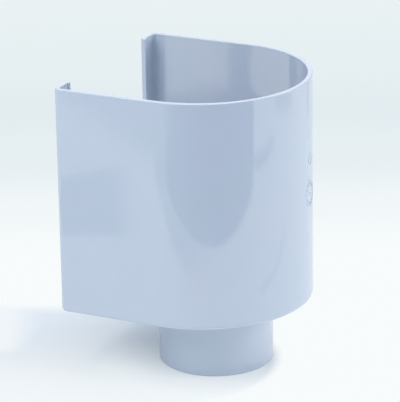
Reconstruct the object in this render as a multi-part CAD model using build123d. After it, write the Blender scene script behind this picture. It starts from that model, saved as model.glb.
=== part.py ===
from build123d import *
from math import radians, tan
import os

# Rainwater hopper, moulded in one piece: a box with a half-round front, open at the top, that
# stands against a wall and drains through a round spigot under its floor. Sizes are millimetres.
# The origin is on the spigot's axis at its lower end, +Z is up, the front faces -Y, the wall is at +Y.

# Box, outside
box_width = 150.0
box_depth = 150.0
box_height = 160.0

# Walls: the inside narrows by this angle towards the floor, so that the mould's core can be drawn
wall = 3.5
floor_thickness = 3.5
core_draft = 0.25

# Back: two lips stand beside the notch that takes the roof outlet, over a low wall
back_wall = 2.5
lip_width = 19.0
notch_depth = 75.0
notch_corner = 8.0

# Bead that stiffens the notch's edge, on the inside of the back. Its face is upright, and it stands
# proud by this height at the foot of the notch, where the drafted wall is thicker than at the rim.
bead_width = 2.2
bead_height = 0.6

# Spigot for the downpipe
spigot_diameter = 80.0
spigot_wall = 2.8
spigot_length = 46.5
outlet_to_wall = 82.5

# Screw holes in the low back wall
screw_hole_diameter = 5.5
screw_hole_spacing = 90.0
screw_hole_height = 44.0

# Rounded edges and corners, with bevels on the floor and on the spigot
rim_round = 0.5
back_corner_round = 4.0
base_round = 3.5
core_corner_round = 2.5
core_floor_bevel = 1.2
spigot_root_bevel = 1.0
spigot_end_bevel = 0.6
outlet_mouth_bevel = 1.2

# Levels and places that follow from the sizes
underside = spigot_length
floor_top = underside + floor_thickness
rim = underside + box_height
notch_bottom = rim - notch_depth
notch_half = box_width / 2 - lip_width
front_radius = box_width / 2
front_centre = outlet_to_wall - box_depth + front_radius
back_wall_at_notch = back_wall + notch_depth * tan(radians(core_draft))
bead_face = outlet_to_wall - back_wall_at_notch - bead_height
spigot_radius = spigot_diameter / 2
outlet_radius = spigot_radius - spigot_wall
screw_hole_level = underside + screw_hole_height

# Cutting tools run this far past what they cut, and edges are found to within this distance
overshoot = 5.0
near = 0.01


def box_plan(side_inset, back_inset):
    """The plan of the box: a half-round front, straight sides and a straight back."""
    half = front_radius - side_inset
    back = outlet_to_wall - back_inset
    sides = Polyline((half, front_centre), (half, back), (-half, back), (-half, front_centre))
    front = ThreePointArc((-half, front_centre), (0, front_centre - half), (half, front_centre))
    return make_face(sides + front)


def notch_outline(grow, top):
    """The notch seen from the front, with rounded lower corners, grown by a margin all round."""
    half = notch_half + grow
    low = notch_bottom - grow
    outline = make_face(Polyline((-half, top), (-half, low), (half, low), (half, top), (-half, top)))
    return fillet(outline.vertices().group_by(Axis.Y)[0], notch_corner + grow)


def lowest_edges(solid):
    """The edges round the solid's bottom face."""
    return solid.faces().sort_by(Axis.Z)[0].edges()


def back_corners(prism):
    """The two upright edges at the back of a prism made from the box's plan."""
    upright = prism.edges().group_by(Axis.Z)[1]
    return upright.group_by(Axis.Y)[-1]


def circles(solid, radius, level):
    """The circular edges of this radius at this level."""
    found = solid.edges().filter_by_position(Axis.Z, level - near, level + near).filter_by(GeomType.CIRCLE)
    return found.filter_by(lambda edge: abs(edge.radius - radius) < near)


def outer_block():
    """The box as a solid block, with rounded back corners and a rounded edge round its underside."""
    block = extrude(Pos(0, 0, underside) * box_plan(0, 0), box_height)
    block = fillet(back_corners(block), back_corner_round)
    return fillet(lowest_edges(block), base_round)


def core():
    """The space inside the box, widest at the rim."""
    mouth = Pos(0, 0, rim) * box_plan(wall, back_wall)
    space = extrude(mouth, floor_top - rim, taper=core_draft)
    space = fillet(back_corners(space), core_corner_round)
    return chamfer(lowest_edges(space), core_floor_bevel)


def notch():
    """The opening from the rim down into the back wall."""
    start = Plane.XZ.offset(-outlet_to_wall - overshoot)
    return extrude(start * notch_outline(0, rim + overshoot), outlet_to_wall - bead_face + 2 * overshoot)


def bead():
    """The raised edge round the notch, rooted halfway into the back wall."""
    root = outlet_to_wall - back_wall / 2
    return extrude(Plane.XZ.offset(-root) * notch_outline(bead_width, rim), root - bead_face)


def on_notch(edge):
    """Whether the whole edge lies within the notch's outline."""
    reach = edge.bounding_box()
    across = max(-reach.min.X, reach.max.X)
    return across < notch_half + near and reach.min.Z > notch_bottom - near


def rim_edges(solid):
    """The edges of the rim, and those of the notch on both faces of the back."""
    upper = solid.edges().filter_by_position(Axis.Z, rim - near, rim + near)
    outline = solid.edges().filter_by(on_notch)
    inner = outline.filter_by_position(Axis.Y, bead_face - near, bead_face + near)
    outer = outline.filter_by_position(Axis.Y, outlet_to_wall - near, outlet_to_wall + near)
    return upper + inner + outer


def box():
    """The D-shaped box with its floor, its back lips and its low back wall."""
    body = outer_block() - core() + bead() - notch()
    return fillet(rim_edges(body), rim_round)


def spigot():
    """The downpipe spigot as a solid, and the round passage through it and the floor."""
    tube = extrude(Circle(spigot_radius), spigot_length + floor_thickness / 2)
    passage = Pos(0, 0, -overshoot) * extrude(Circle(outlet_radius), floor_top + 2 * overshoot)
    return tube, passage


def screw_holes():
    """The two holes that fix the low back wall to the building."""
    rod = Cylinder(screw_hole_diameter / 2, 2 * (back_wall + overshoot), rotation=(90, 0, 0))
    level = Pos(0, outlet_to_wall, screw_hole_level)
    return [level * Pos(side * screw_hole_spacing / 2, 0, 0) * rod for side in (-1, 1)]


def hopper():
    """The whole moulding."""
    tube, passage = spigot()
    body = box() + tube
    body = chamfer(circles(body, spigot_radius, underside), spigot_root_bevel)
    body -= passage
    body = chamfer(circles(body, outlet_radius, floor_top), outlet_mouth_bevel)
    body = chamfer(circles(body, outlet_radius, 0) + circles(body, spigot_radius, 0), spigot_end_bevel)
    for hole in screw_holes():
        body -= hole
    return body


os.makedirs("parts", exist_ok=True)
export_step(hopper(), "parts/hopper.step")
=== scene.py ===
import math

import bmesh
import bpy
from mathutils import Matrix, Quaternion, Vector


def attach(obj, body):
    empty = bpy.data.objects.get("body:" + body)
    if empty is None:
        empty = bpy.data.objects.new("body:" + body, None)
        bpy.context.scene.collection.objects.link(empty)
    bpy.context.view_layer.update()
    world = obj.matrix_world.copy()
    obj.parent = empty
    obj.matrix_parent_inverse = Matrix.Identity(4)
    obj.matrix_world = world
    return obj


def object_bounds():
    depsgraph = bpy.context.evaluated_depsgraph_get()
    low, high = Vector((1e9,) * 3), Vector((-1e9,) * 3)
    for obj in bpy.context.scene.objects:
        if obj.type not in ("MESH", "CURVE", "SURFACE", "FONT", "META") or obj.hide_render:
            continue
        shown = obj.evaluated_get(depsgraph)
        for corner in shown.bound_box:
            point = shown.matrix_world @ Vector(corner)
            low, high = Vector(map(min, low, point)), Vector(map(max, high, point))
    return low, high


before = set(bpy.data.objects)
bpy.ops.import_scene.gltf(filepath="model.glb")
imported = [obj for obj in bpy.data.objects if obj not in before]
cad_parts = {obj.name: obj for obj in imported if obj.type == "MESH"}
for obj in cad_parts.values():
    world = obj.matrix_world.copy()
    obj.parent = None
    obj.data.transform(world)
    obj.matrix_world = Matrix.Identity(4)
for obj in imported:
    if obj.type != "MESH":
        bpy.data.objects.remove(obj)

cad_low, cad_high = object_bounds()

# Distances are metres and angles are degrees. The origin is on the spigot's axis at its lower end, +Z is
# up and the half-round front faces -Y. An azimuth of 0 points to the front and one of 90 points to +X.

# Camera, found by fitting the rim, the walls, the lips and the spigot to their edges in the photograph
IMAGE_LONG_SIDE = 402
SENSOR_WIDTH_MM = 36.0
FOCAL_PIXELS = 2793.2
CAMERA_AZIMUTH = -64.058
CAMERA_ELEVATION = 19.392
CAMERA_ROLL = -0.981
CAMERA_DISTANCE = 1.94029
CAMERA_AIM = Vector((0.008017, 0.01486, 0.109628))
CAMERA_RANGE = (0.05, 50.0)

# Colours, linear
PVC_COLOR_COOL = (0.627, 0.712, 0.795)
PVC_COLOR_WARM = (0.652, 0.702, 0.805)
FLOOR_COLOR = (0.93, 0.955, 0.95)
SKY_COLOR = (0.218, 0.276, 0.368)
# Glow colour of the painted dark reflections in the walls
PAINTED_REFLECTION_COLOR = (0.0, 0.03, 0.147)

# Colour of the floor where it is seen as a glow, by distance behind the spigot
FLOOR_GLOW_COLORS = [
    (0.0, (0.930, 0.965, 0.973)),
    (0.2, (0.930, 0.965, 0.973)),
    (0.31, (0.885, 0.93, 0.945)),
    (0.43, (0.80, 0.865, 0.895)),
    (0.58, (0.765, 0.845, 0.875)),
    (0.70, (0.79, 0.865, 0.88)),
    (0.93, (0.82, 0.885, 0.90)),
]

# Gloss of the moulding, and by what factors its roughness varies
PVC_IOR = 1.85
PVC_ROUGHNESS = 0.06
ROUGHNESS_SPREAD = (0.8, 1.25)

# Noise in the moulding: cloudiness, upright flow lines, gloss and skin, and the span that counts
CLOUD = {"scale": 16.0, "detail": 3.0}
FLOW = {"scale": 60.0, "detail": 2.0, "stretch": (1, 1, 0.08)}
GLOSS = {"scale": 90.0, "detail": 3.0}
SKIN = {"scale": 120.0, "detail": 2.0}
NOISE_SPAN = (0.3, 0.7)

# How much of the colour's noise is flow lines, how strong they are in the skin, and the skin's height
FLOW_IN_COLOR = 0.2
FLOW_IN_SKIN = 1.5
SKIN_HEIGHT_MM = 0.02
MILLIMETRE = 0.001

# Share of glow in the floor within the hopper's soft shadow, and its factor at the foot of the spigot.
# Outside the shadow the floor is all glow.
SHADOW_GLOW = 0.69
FOOT_FACTOR = 0.62

# Soft edges of that shadow, each from one distance to another. Depth is towards the camera, left is to
# the camera's left, back is behind the spigot, and foot and end are all round it. The left edge counts
# only further back than its own depth.
DEPTH_EDGE = (-0.065, 0.05)
FOOT_EDGE = (0.035, 0.075)
LEFT_EDGE = (0.122, 0.152)
LEFT_EDGE_DEPTH = (-0.02, 0.005)
BACK_EDGE = (0.078, 0.105)
END_EDGE = (0.165, 0.45)

# At the right the shadow ends on a circle, whose centre is given as left and depth. Further left than
# its limit the circle doesn't count.
CIRCLE_CENTRE = (0.035, 0.005)
CIRCLE_EDGE = (0.068, 0.083)
CIRCLE_LEFT_LIMIT = (0.01, 0.05)

# The floor, and the card of painted dark reflections just over it, which only gloss sees
FLOOR_HALF = 6.0
DARK_CARD_HALF = 3.0
DARK_CARD_LEVEL = 0.001

# The dark room is a painted dark reflection in the walls. It starts past soft straight edges: azimuth,
# distance from the spigot and softness. Its left edge fans out from a corner, X and Y: clear at the first
# slope and dark at the second. A slope's run is taken as at least the shortest one.
ROOM_EDGES = [(-57.4, 0.356, 0.005), (-97.9, 0.067, 0.005)]
FAN_CORNER = (-0.46, 0.11)
FAN_SLOPES = (1.05, -0.4)
FAN_SHORTEST_RUN = 0.01

# Lesser painted dark reflections beside the room: how dark each is against the room, and its edges
SHADES = {
    "haze": (0.5, [(-51, 0.256, 0.02), (-115, 0.25, 0.1)]),
    "patch": (0.6, [(-113.2, 0.3775, 0.004), (34.5, -0.484, 0.012), (150.5, -0.024, 0.014)]),
    "streak": (0.8, [
        (-12.6, 0.524, 0.006), (167.4, -0.562, 0.006), (77.4, -0.03, 0.03), (-102.6, -0.2, 0.1),
    ]),
    "corner": (0.55, [(28.6, 0.653, 0.015), (107, -0.047, 0.012), (-49, 0.055, 0.012)]),
    "line": (0.6, [(79, 0.6, 0.03), (-11, 0.045, 0.012), (169, -0.085, 0.012)]),
    "fold": (0.5, [
        (-25.2, 0.231, 0.006), (154.8, -0.243, 0.006), (64.8, 0.04, 0.02), (-115.2, -0.27, 0.03),
    ]),
}

# Square soft lamps: name, azimuth, elevation, side length and power in watts
LAMPS = [
    ("top", 0, 85, 0.9, 6.5),
    ("left_front", -109, 45, 0.9, 9.1),
    ("right_low", 26, 20, 0.7, 8.3),
    ("back_low", 116, 24, 0.9, 2.4),
]
LAMP_DISTANCE = 1.5
LAMP_AIM = Vector((0, 0, 0.1))
SKY_STRENGTH = 1.0

# The half-round front
FRONT_RADIUS = (cad_high[0] - cad_low[0]) / 2
FRONT_CENTRE_Y = cad_low[1] + FRONT_RADIUS

# The plain moulded dial on the front: its middle, its ring and how far it stands proud
DIAL_ACROSS = 0.0127
DIAL_UP = 0.125
DIAL_RADIUS = 0.009
DIAL_LIFT = 0.0003
RING_HALF_WIDTH = 0.00055
RING_SIDES = 64

# Its ticks and middle dot. Reach is in shares of the dial's radius, and a top is a share of its foot.
TICKS = 12
TICK_REACH = (0.66, 0.86)
TICK_HALF_WIDTH = 0.00025
TICK_TOP = 0.7
DOT_RADIUS = 0.0008
DOT_SIDES = 16
DOT_TOP = 0.6

# The small ring over the dial
SMALL_RING_UP = 0.025
SMALL_RING_RADIUS = 0.004
SMALL_RING_SIDES = 32

# How deep the dial is rooted in the front, and how far it stays within the hopper's own reach
ROOT_DEPTH = 0.00005
REACH_MARGIN = 0.000004

# Crown of a ring's section, between its two roots: across and up, in shares of its half width and lift
RING_CROWN = [(-0.7, 0.6), (0.0, 1.0), (0.7, 0.6)]


def direction(azimuth, elevation=0.0):
    """The unit vector from the hopper towards this azimuth and elevation."""
    a, e = math.radians(azimuth), math.radians(elevation)
    return Vector((math.sin(a) * math.cos(e), -math.cos(a) * math.cos(e), math.sin(e)))


def new_material(name):
    """An empty node material, with its tree and output node."""
    material = bpy.data.materials.new(name)
    material.use_nodes = True
    tree = material.node_tree
    tree.nodes.clear()
    output = tree.nodes.new("ShaderNodeOutputMaterial")
    return material, tree, output


class Nodes:
    """Short ways to add shader nodes to one tree. Each gives back its output socket."""

    def __init__(self, tree):
        self.nodes = tree.nodes
        self.links = tree.links

    def feed(self, socket, value):
        """Links a socket to another, or sets it to a plain value."""
        if isinstance(value, bpy.types.NodeSocket):
            self.links.new(value, socket)
        else:
            socket.default_value = value

    def math(self, operation, *values):
        node = self.nodes.new("ShaderNodeMath")
        node.operation = operation
        for socket, value in zip(node.inputs, values):
            self.feed(socket, value)
        return node.outputs["Value"]

    def chain(self, operation, first, *others):
        """One operation over several values in turn."""
        result = first
        for value in others:
            result = self.math(operation, result, value)
        return result

    def length(self, across, along):
        """The length of a flat vector."""
        squares = self.math("MULTIPLY", across, across), self.math("MULTIPLY", along, along)
        return self.math("SQRT", self.math("ADD", *squares))

    def dot(self, vector, along):
        """How far a place lies along a direction."""
        node = self.nodes.new("ShaderNodeVectorMath")
        node.operation = "DOT_PRODUCT"
        self.feed(node.inputs[0], vector)
        self.feed(node.inputs[1], along)
        return node.outputs["Value"]

    def step(self, value, low, high, at_low=0.0, at_high=1.0):
        """A smooth step from one value to another."""
        node = self.nodes.new("ShaderNodeMapRange")
        node.interpolation_type = "SMOOTHSTEP"
        node.inputs["From Min"].default_value = low
        node.inputs["From Max"].default_value = high
        node.inputs["To Min"].default_value = at_low
        node.inputs["To Max"].default_value = at_high
        self.feed(node.inputs["Value"], value)
        return node.outputs["Result"]

    def place(self):
        return self.nodes.new("ShaderNodeTexCoord").outputs["Object"]

    def noise(self, scale, detail, stretch=(1, 1, 1)):
        """Noise from the place on the object, scaled apart along each axis."""
        mapping = self.nodes.new("ShaderNodeMapping")
        mapping.inputs["Scale"].default_value = stretch
        self.feed(mapping.inputs["Vector"], self.place())
        noise = self.nodes.new("ShaderNodeTexNoise")
        noise.inputs["Scale"].default_value = scale
        noise.inputs["Detail"].default_value = detail
        self.feed(noise.inputs["Vector"], mapping.outputs["Vector"])
        return noise.outputs["Fac"]

    def ramp(self, value, stops):
        """A colour ramp over places 0 to 1, with at least two stops."""
        node = self.nodes.new("ShaderNodeValToRGB")
        elements = node.color_ramp.elements
        node.color_ramp.interpolation = "EASE"
        for at, _ in stops[2:]:
            elements.new(at)
        for element, (at, color) in zip(elements, stops):
            element.position = at
            element.color = (*color, 1)
        self.feed(node.inputs["Fac"], value)
        return node.outputs["Color"]

    def mix_shader(self, share, first, second):
        node = self.nodes.new("ShaderNodeMixShader")
        self.feed(node.inputs["Fac"], share)
        self.links.new(first, node.inputs[1])
        self.links.new(second, node.inputs[2])
        return node.outputs["Shader"]

    def emission(self, color):
        """A plain glow of this colour, at strength 1."""
        node = self.nodes.new("ShaderNodeEmission")
        self.feed(node.inputs["Color"], color)
        return node.outputs["Emission"]

    def see_through(self):
        return self.nodes.new("ShaderNodeBsdfTransparent").outputs["BSDF"]

    def seen_rays(self):
        """1 for rays from the camera, and for those by way of gloss or glass."""
        path = self.nodes.new("ShaderNodeLightPath").outputs
        return self.chain(
            "MAXIMUM", path["Is Camera Ray"], path["Is Glossy Ray"], path["Is Transmission Ray"]
        )


def pvc_material():
    """Glossy moulded PVC: a faint cloudiness in its colour, flow lines, and a skin that is almost flat."""
    material, tree, output = new_material("pvc")
    make = Nodes(tree)
    shader = tree.nodes.new("ShaderNodeBsdfPrincipled")
    shader.inputs["IOR"].default_value = PVC_IOR

    flow = make.noise(**FLOW)
    cloud = make.math("MULTIPLY", make.noise(**CLOUD), 1 - FLOW_IN_COLOR)
    blend = make.math("ADD", cloud, make.math("MULTIPLY", flow, FLOW_IN_COLOR))
    color = make.ramp(blend, list(zip(NOISE_SPAN, (PVC_COLOR_COOL, PVC_COLOR_WARM))))
    make.feed(shader.inputs["Base Color"], color)

    smoothest, roughest = (PVC_ROUGHNESS * factor for factor in ROUGHNESS_SPREAD)
    roughness = make.step(make.noise(**GLOSS), *NOISE_SPAN, smoothest, roughest)
    make.feed(shader.inputs["Roughness"], roughness)

    skin = make.math("ADD", make.noise(**SKIN), make.math("MULTIPLY", flow, FLOW_IN_SKIN))
    bump = tree.nodes.new("ShaderNodeBump")
    bump.inputs["Strength"].default_value = 1.0
    bump.inputs["Distance"].default_value = MILLIMETRE
    make.feed(bump.inputs["Height"], make.math("MULTIPLY", skin, SKIN_HEIGHT_MM))
    make.feed(shader.inputs["Normal"], bump.outputs["Normal"])
    make.feed(output.inputs["Surface"], shader.outputs["BSDF"])
    return material


def glow_share(make, toward, left, behind):
    """How far each place on the floor is seen as a glow: less in the hopper's soft shadow."""
    around = make.length(left, toward)
    foot = make.step(around, *FOOT_EDGE, FOOT_FACTOR, 1.0)
    shadow = make.math("MULTIPLY", make.step(toward, *DEPTH_EDGE, 0.0, SHADOW_GLOW), foot)

    deep = make.step(toward, *LEFT_EDGE_DEPTH, 1.0, 0.0)
    left_end = make.chain("MULTIPLY", make.step(left, *LEFT_EDGE), deep, SHADOW_GLOW)

    centre_left, centre_toward = CIRCLE_CENTRE
    across = make.math("SUBTRACT", left, centre_left)
    along = make.math("SUBTRACT", toward, centre_toward)
    outside = make.step(make.length(across, along), *CIRCLE_EDGE)
    right_end = make.math("MULTIPLY", outside, make.step(left, *CIRCLE_LEFT_LIMIT, 1.0, 0.0))

    back_end = make.step(behind, *BACK_EDGE)
    far_end = make.step(around, *END_EDGE)
    return make.chain("MAXIMUM", shadow, left_end, right_end, back_end, far_end)


def floor_material():
    """Plain pale floor, seen partly as a glow, which lightens the shadow. From below it isn't seen."""
    material, tree, output = new_material("pale_floor")
    make = Nodes(tree)
    shader = tree.nodes.new("ShaderNodeBsdfPrincipled")
    shader.inputs["Base Color"].default_value = (*FLOOR_COLOR, 1)
    shader.inputs["Roughness"].default_value = 1.0
    shader.inputs["Specular IOR Level"].default_value = 0.0

    place = make.place()
    toward = make.dot(place, direction(CAMERA_AZIMUTH))
    left = make.dot(place, direction(CAMERA_AZIMUTH - 90))
    behind = make.math("MULTIPLY", toward, -1.0)
    glow = make.emission(make.ramp(behind, FLOOR_GLOW_COLORS))
    seen = make.math("MULTIPLY", glow_share(make, toward, left, behind), make.seen_rays())
    top = make.mix_shader(seen, shader.outputs["BSDF"], glow)

    from_below = tree.nodes.new("ShaderNodeNewGeometry").outputs["Backfacing"]
    make.feed(output.inputs["Surface"], make.mix_shader(from_below, top, make.see_through()))
    return material


def painted_reflection_material():
    """Painted dark reflections for the glossy walls: the dark room past the table and lesser shades beside
    it.
    """
    material, tree, output = new_material("painted_dark_reflections")
    make = Nodes(tree)
    place = make.place()

    def within(edges):
        """1 in the region that lies past each of these soft straight edges."""
        masks = [
            make.step(make.dot(place, direction(azimuth)), distance - softness, distance + softness)
            for azimuth, distance, softness in edges
        ]
        return make.chain("MULTIPLY", *masks)

    def fan():
        """1 at the right of the room's left edge, which is sharp at its corner and softer further on."""
        split = tree.nodes.new("ShaderNodeSeparateXYZ")
        make.feed(split.inputs["Vector"], place)
        corner_x, corner_y = FAN_CORNER
        rise = make.math("SUBTRACT", split.outputs["Y"], corner_y)
        run = make.math("MAXIMUM", make.math("SUBTRACT", corner_x, split.outputs["X"]), FAN_SHORTEST_RUN)
        return make.step(make.math("DIVIDE", rise, run), *FAN_SLOPES)

    # The room and the shades are painted dark reflections: a dark glow on a card that is see-through
    # elsewhere
    room = make.math("MULTIPLY", within(ROOM_EDGES), fan())
    shades = [make.math("MULTIPLY", within(edges), darkness) for darkness, edges in SHADES.values()]
    dark = make.chain("MAXIMUM", room, *shades)
    glow = make.emission((*PAINTED_REFLECTION_COLOR, 1))
    make.feed(output.inputs["Surface"], make.mix_shader(dark, make.see_through(), glow))
    return material


def add_card(name, half, level, material):
    """A flat square card at this level, as part of the stage."""
    corners = [(-half, -half, level), (half, -half, level), (half, half, level), (-half, half, level)]
    mesh = bpy.data.meshes.new(name)
    mesh.from_pydata(corners, [], [(0, 1, 2, 3)])
    mesh.materials.append(material)
    card = bpy.data.objects.new(name, mesh)
    bpy.context.scene.collection.objects.link(card)
    return card


def add_floor():
    """A pale floor under the hopper."""
    add_card("floor", FLOOR_HALF, 0.0, floor_material())


def add_painted_reflections():
    """A card of painted dark reflections just over the floor, which only gloss sees."""
    card = add_card("painted_dark_reflections", DARK_CARD_HALF, DARK_CARD_LEVEL, painted_reflection_material())
    card.visible_camera = False
    card.visible_diffuse = False
    card.visible_transmission = False
    card.visible_shadow = False


def on_front(across, above, lift):
    """A point of the front, from the dial's middle, lifted as far as the hopper's own reach allows."""
    angle = (DIAL_ACROSS + across) / FRONT_RADIUS
    allowed = FRONT_RADIUS / math.cos(angle) - FRONT_RADIUS - REACH_MARGIN
    radius = FRONT_RADIUS + min(lift, allowed)
    return (radius * math.sin(angle), FRONT_CENTRE_Y - radius * math.cos(angle), DIAL_UP + above)


def at_clock(turn, out, side=0.0):
    """Across and above a middle: this far out at a clock angle in radians, and this far to its side."""
    return (out * math.sin(turn) + side * math.cos(turn), out * math.cos(turn) - side * math.sin(turn))


def turns(count):
    """Evenly spaced clock angles, in radians."""
    return [2 * math.pi * i / count for i in range(count)]


def ring_parts(up, radius, sides):
    """Vertices and faces of a closed, low, rounded ring on the front."""
    crown = [(across, rise * DIAL_LIFT) for across, rise in RING_CROWN]
    section = [(-1.0, -ROOT_DEPTH), *crown, (1.0, -ROOT_DEPTH)]
    points, faces = [], []
    for turn in turns(sides):
        for offset, lift in section:
            across, above = at_clock(turn, radius + offset * RING_HALF_WIDTH)
            points.append(on_front(across, up + above, lift))
    n = len(section)
    for i in range(sides):
        j = (i + 1) % sides
        for k in range(n):
            m = (k + 1) % n
            faces.append((i * n + k, i * n + m, j * n + m, j * n + k))
    return points, faces


def pad_parts(outline, top):
    """Vertices and faces of a closed low pad with this outline, drawn in to a share of it at the top."""
    n = len(outline)
    middle = [sum(values) / n for values in zip(*outline)]
    points = [on_front(*place, -ROOT_DEPTH) for place in outline]
    for place in outline:
        drawn_in = [centre + (at - centre) * top for at, centre in zip(place, middle)]
        points.append(on_front(*drawn_in, DIAL_LIFT))
    faces = [tuple(range(n - 1, -1, -1)), tuple(range(n, 2 * n))]
    for i in range(n):
        j = (i + 1) % n
        faces.append((i, j, n + j, n + i))
    return points, faces


def tick_outline(turn):
    """A short bar inside the dial's ring, at this clock angle."""
    low, high = (DIAL_RADIUS * share for share in TICK_REACH)
    half = TICK_HALF_WIDTH
    corners = [(low, -half), (low, half), (high, half), (high, -half)]
    return [at_clock(turn, out, side) for out, side in corners]


def dial_parts():
    """All rings and pads of the dial, and the small ring over it."""
    parts = [
        ring_parts(0.0, DIAL_RADIUS, RING_SIDES),
        ring_parts(SMALL_RING_UP, SMALL_RING_RADIUS, SMALL_RING_SIDES),
        pad_parts([at_clock(turn, DOT_RADIUS) for turn in turns(DOT_SIDES)], DOT_TOP),
    ]
    return parts + [pad_parts(tick_outline(turn), TICK_TOP) for turn in turns(TICKS)]


def add_dial(material):
    """A plain dial of a mould: a ring with ticks and a middle dot, and a small ring over it."""
    points, faces = [], []
    for part_points, part_faces in dial_parts():
        first = len(points)
        points += part_points
        faces += [tuple(first + k for k in face) for face in part_faces]
    mesh = bpy.data.meshes.new("moulded_dial")
    mesh.from_pydata(points, [], faces)
    mesh.materials.append(material)
    work = bmesh.new()
    work.from_mesh(mesh)
    bmesh.ops.recalc_face_normals(work, faces=work.faces)
    for face in work.faces:
        face.smooth = True
    work.to_mesh(mesh)
    work.free()
    dial = bpy.data.objects.new("moulded_dial", mesh)
    bpy.context.scene.collection.objects.link(dial)
    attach(dial, "root")


def dress_hopper(material):
    """Gives the hopper itself its plastic."""
    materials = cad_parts["hopper"].data.materials
    materials.clear()
    materials.append(material)


def add_lamp(name, azimuth, elevation, side, power):
    """A square soft lamp that points at the hopper."""
    data = bpy.data.lights.new(name, "AREA")
    data.shape = "SQUARE"
    data.size = side
    data.energy = power
    lamp = bpy.data.objects.new(name, data)
    out = direction(azimuth, elevation)
    lamp.location = LAMP_AIM + out * LAMP_DISTANCE
    lamp.rotation_euler = (-out).to_track_quat("-Z", "Y").to_euler()
    bpy.context.scene.collection.objects.link(lamp)


def add_world():
    """Even light from all round, which the camera sees in the colour of the farthest floor."""
    world = bpy.data.worlds.new("studio")
    bpy.context.scene.world = world
    world.use_nodes = True
    tree = world.node_tree
    make = Nodes(tree)
    light = tree.nodes["Background"]
    light.inputs["Color"].default_value = (*SKY_COLOR, 1)
    light.inputs["Strength"].default_value = SKY_STRENGTH
    _, farthest_color = FLOOR_GLOW_COLORS[-1]
    pale = tree.nodes.new("ShaderNodeBackground")
    pale.inputs["Color"].default_value = (*farthest_color, 1)
    camera_ray = tree.nodes.new("ShaderNodeLightPath").outputs["Is Camera Ray"]
    mixed = make.mix_shader(camera_ray, light.outputs["Background"], pale.outputs["Background"])
    make.feed(tree.nodes["World Output"].inputs["Surface"], mixed)


def add_camera():
    """The camera at the photograph's viewing angle."""
    back = direction(CAMERA_AZIMUTH, CAMERA_ELEVATION)
    roll = Quaternion((0, 0, 1), math.radians(CAMERA_ROLL))
    data = bpy.data.cameras.new("camera")
    data.sensor_width = SENSOR_WIDTH_MM
    data.lens = FOCAL_PIXELS * SENSOR_WIDTH_MM / IMAGE_LONG_SIDE
    data.clip_start, data.clip_end = CAMERA_RANGE
    camera = bpy.data.objects.new("camera", data)
    camera.rotation_mode = "QUATERNION"
    camera.rotation_quaternion = (-back).to_track_quat("-Z", "Y") @ roll
    camera.location = CAMERA_AIM + back * CAMERA_DISTANCE
    bpy.context.scene.collection.objects.link(camera)
    bpy.context.scene.camera = camera


pvc = pvc_material()
dress_hopper(pvc)
add_dial(pvc)
add_floor()
add_painted_reflections()
add_world()
for lamp in LAMPS:
    add_lamp(*lamp)
add_camera()

bpy.context.scene.view_settings.view_transform = "Standard"
